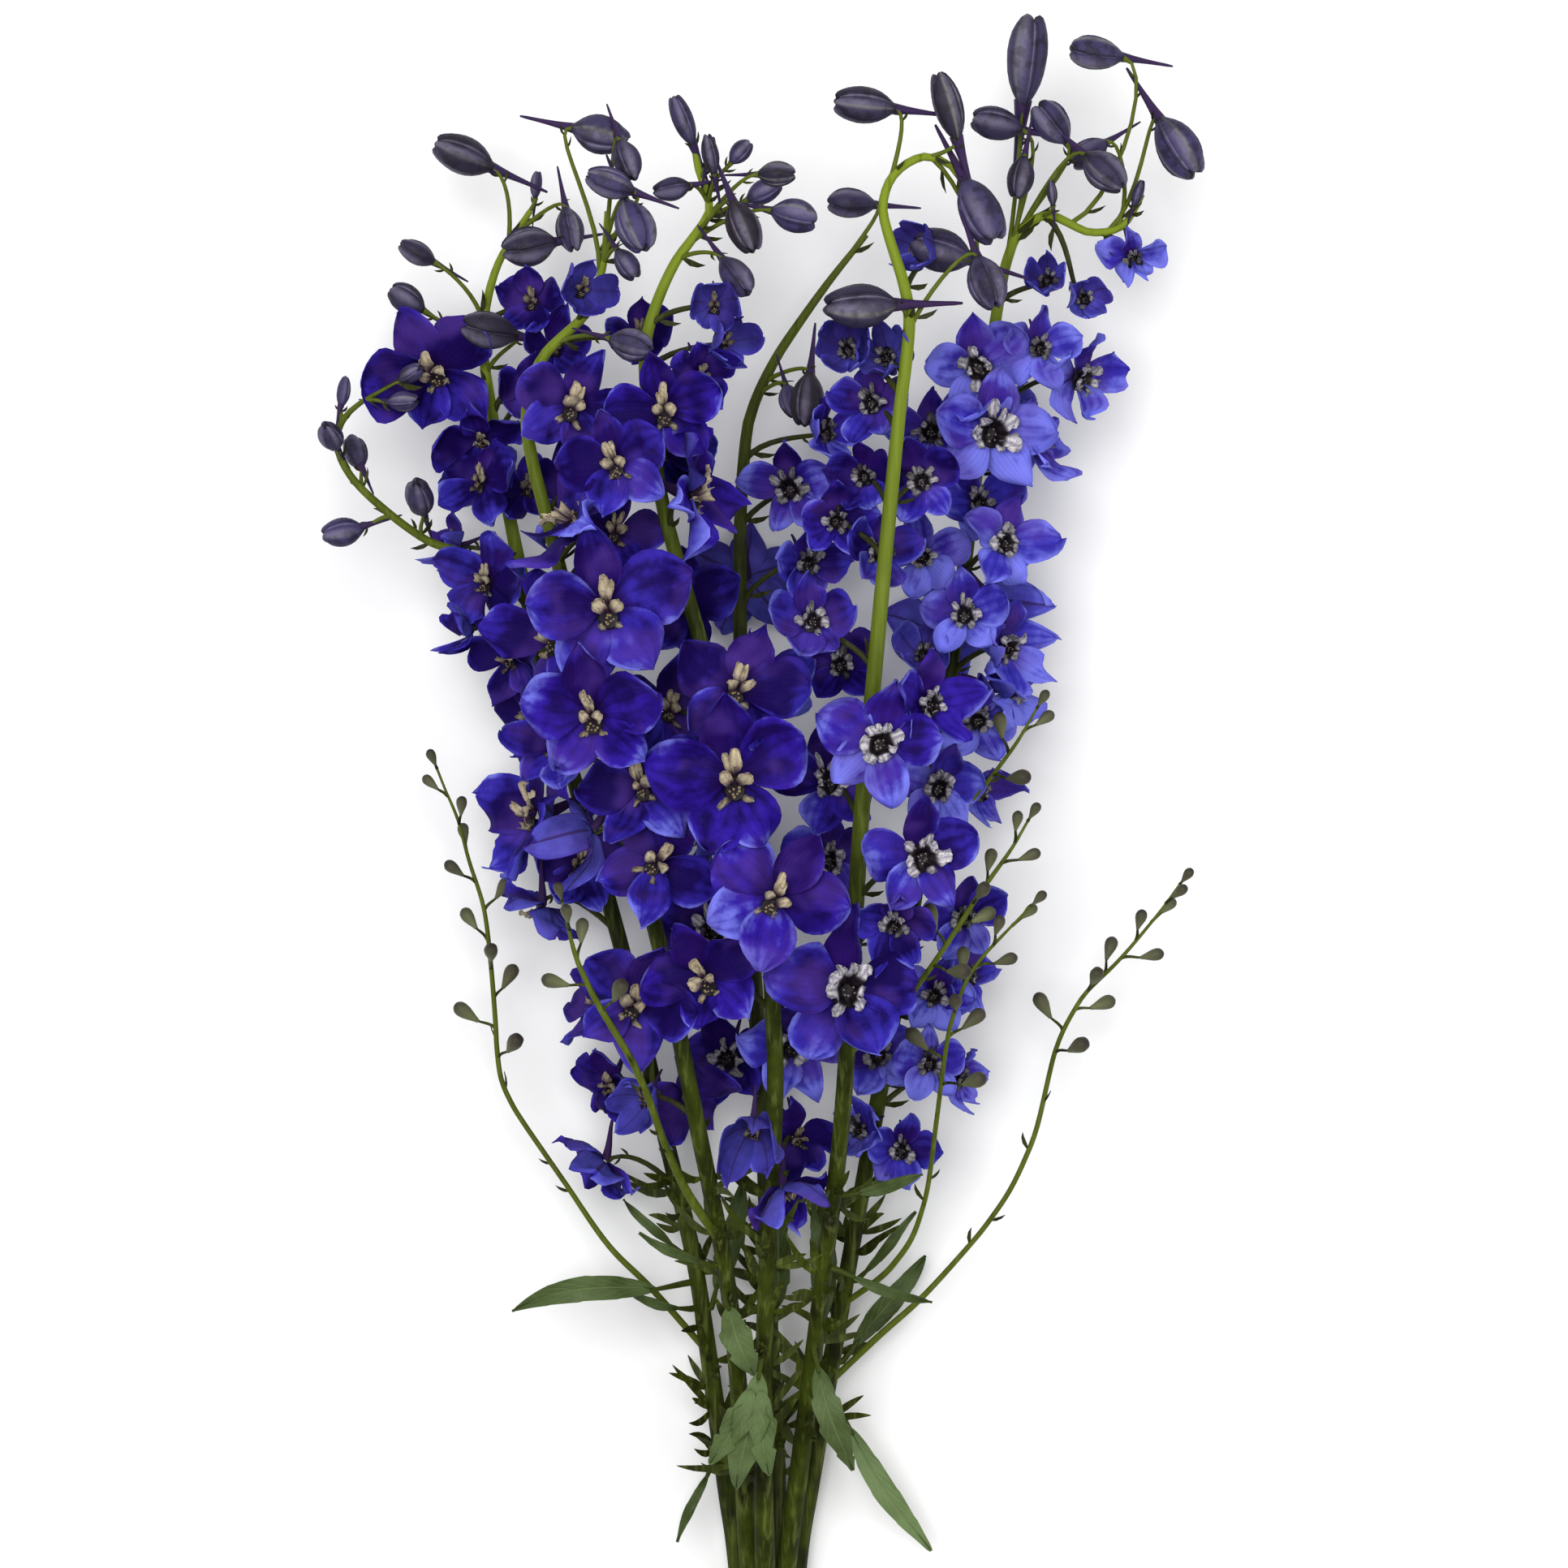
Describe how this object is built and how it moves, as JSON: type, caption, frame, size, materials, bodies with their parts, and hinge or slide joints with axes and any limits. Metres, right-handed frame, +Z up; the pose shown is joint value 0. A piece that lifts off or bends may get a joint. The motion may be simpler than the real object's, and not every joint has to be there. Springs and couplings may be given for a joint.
{
  "type": "tied bunch of cut delphinium flower spikes",
  "caption": "Loose tied bunch of cut delphinium spikes with blue-violet spurred flowers, buds, side shoots and lobed leaves, laid down flat.",
  "frame": {"origin": "on the surface that the bunch lies on, under the cut end of the lowest middle stem", "axes": "+Y along the stems from their cut ends to the flowering tips, +Z up out of the surface, towards the flowers' faces, +X to the right seen from above with the tips away"},
  "size_m": [0.3238, 0.6757, 0.1471],
  "materials": {
    "sepals": "soft matte petal, deep blue-violet with purple flushes and fine veins",
    "stems": "satin olive to yellow-green plant stem",
    "leaves": "matte mid to grey-green leaf",
    "band": "matte tan rubber band"
  },
  "bodies": {
    "root": {"spike_front_right": "sepals", "spike_centre_left": "sepals", "spike_left": "sepals", "spike_right": "sepals", "spike_far_left": "sepals", "spike_middle": "sepals", "shoot_left": "stems", "shoot_right": "stems", "shoot_right_inner": "stems", "shoot_front_right": "stems", "shoot_far_right": "stems", "shoot_front_left": "stems", "shoot_curled_left": "stems", "leaf_arched_left": "leaves", "leaf_long_right": "leaves", "leaf_front": "leaves", "leaf_front_right": "leaves", "leaf_upright_right": "leaves", "leaf_centre": "leaves", "leaf_narrow_left": "leaves", "leaf_narrow_right": "leaves", "leaf_small_right": "leaves", "leaf_low_left": "leaves", "leaf_inner_right": "leaves", "leaf_inner_left": "leaves", "leaf_inner_far_right": "leaves", "leaf_wisp_left": "leaves", "leaf_wisp_low": "leaves", "leaf_wisp_right": "leaves", "tie_band": "band"}
  },
  "joints": []
}
